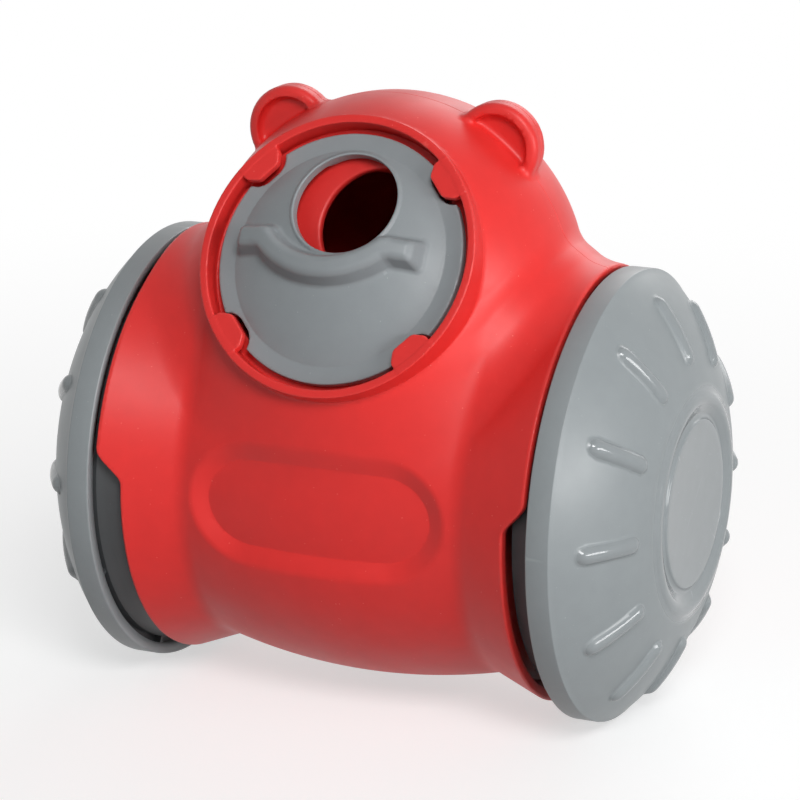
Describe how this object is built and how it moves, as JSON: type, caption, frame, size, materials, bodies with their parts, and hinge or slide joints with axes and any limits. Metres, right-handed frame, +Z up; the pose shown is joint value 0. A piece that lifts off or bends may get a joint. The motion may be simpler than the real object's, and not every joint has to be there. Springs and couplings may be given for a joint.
{
  "type": "treat dispensing ball",
  "caption": "Treat dispensing roller for pets: a round-bellied red body with a ball head, small ears and a twist lid over its outlet, on two free domed wheels.",
  "frame": {"origin": "on the floor under the middle of the axle, at the bottom centre of the bounding box", "axes": "+X along the wheel axle toward the wheel at the right of someone who faces the outlet, -Y toward the outlet and the panel (front), +Z up"},
  "size_m": [0.1438, 0.1, 0.135],
  "materials": {
    "red_plastic": "satin, fine moulded grain",
    "gray_plastic": "satin, fine speckle, glossier on bars and hub ring",
    "dark_gray_plastic": "satin",
    "bush_plastic": "smooth",
    "zinc_steel": "zinc plated"
  },
  "bodies": {
    "body": {"front_shell": "red_plastic", "rear_shell": "red_plastic", "shell_screws": "zinc_steel", "outlet_collar": "red_plastic", "throat_plate": "red_plastic", "left_end_plate": "red_plastic", "right_end_plate": "red_plastic", "left_axle_pin": "zinc_steel", "right_axle_pin": "zinc_steel", "left_washer": "zinc_steel", "right_washer": "zinc_steel", "left_axle_screw": "zinc_steel", "right_axle_screw": "zinc_steel", "ballast_weight": "zinc_steel", "ballast_cover": "dark_gray_plastic", "cover_screws": "zinc_steel"},
    "left_wheel": {"left_wheel_cap": "gray_plastic", "left_wheel_drum": "dark_gray_plastic", "left_bush": "bush_plastic"},
    "right_wheel": {"right_wheel_cap": "gray_plastic", "right_wheel_drum": "dark_gray_plastic", "right_bush": "bush_plastic"},
    "lid": {"twist_lid": "gray_plastic"}
  },
  "joints": [
    {"name": "left_wheel_spin", "type": "hinge", "parent": "body", "child": "left_wheel", "pos_m": [-0.0505, 0, 0.05], "axis": [1, 0, 0], "continuous": true},
    {"name": "right_wheel_spin", "type": "hinge", "parent": "body", "child": "right_wheel", "pos_m": [0.0505, 0, 0.05], "axis": [1, 0, 0], "continuous": true},
    {"name": "lid_turn", "type": "hinge", "parent": "body", "child": "lid", "pos_m": [0, -0.0315, 0.1055], "axis": [0, -0.8704, 0.4924], "continuous": true}
  ]
}
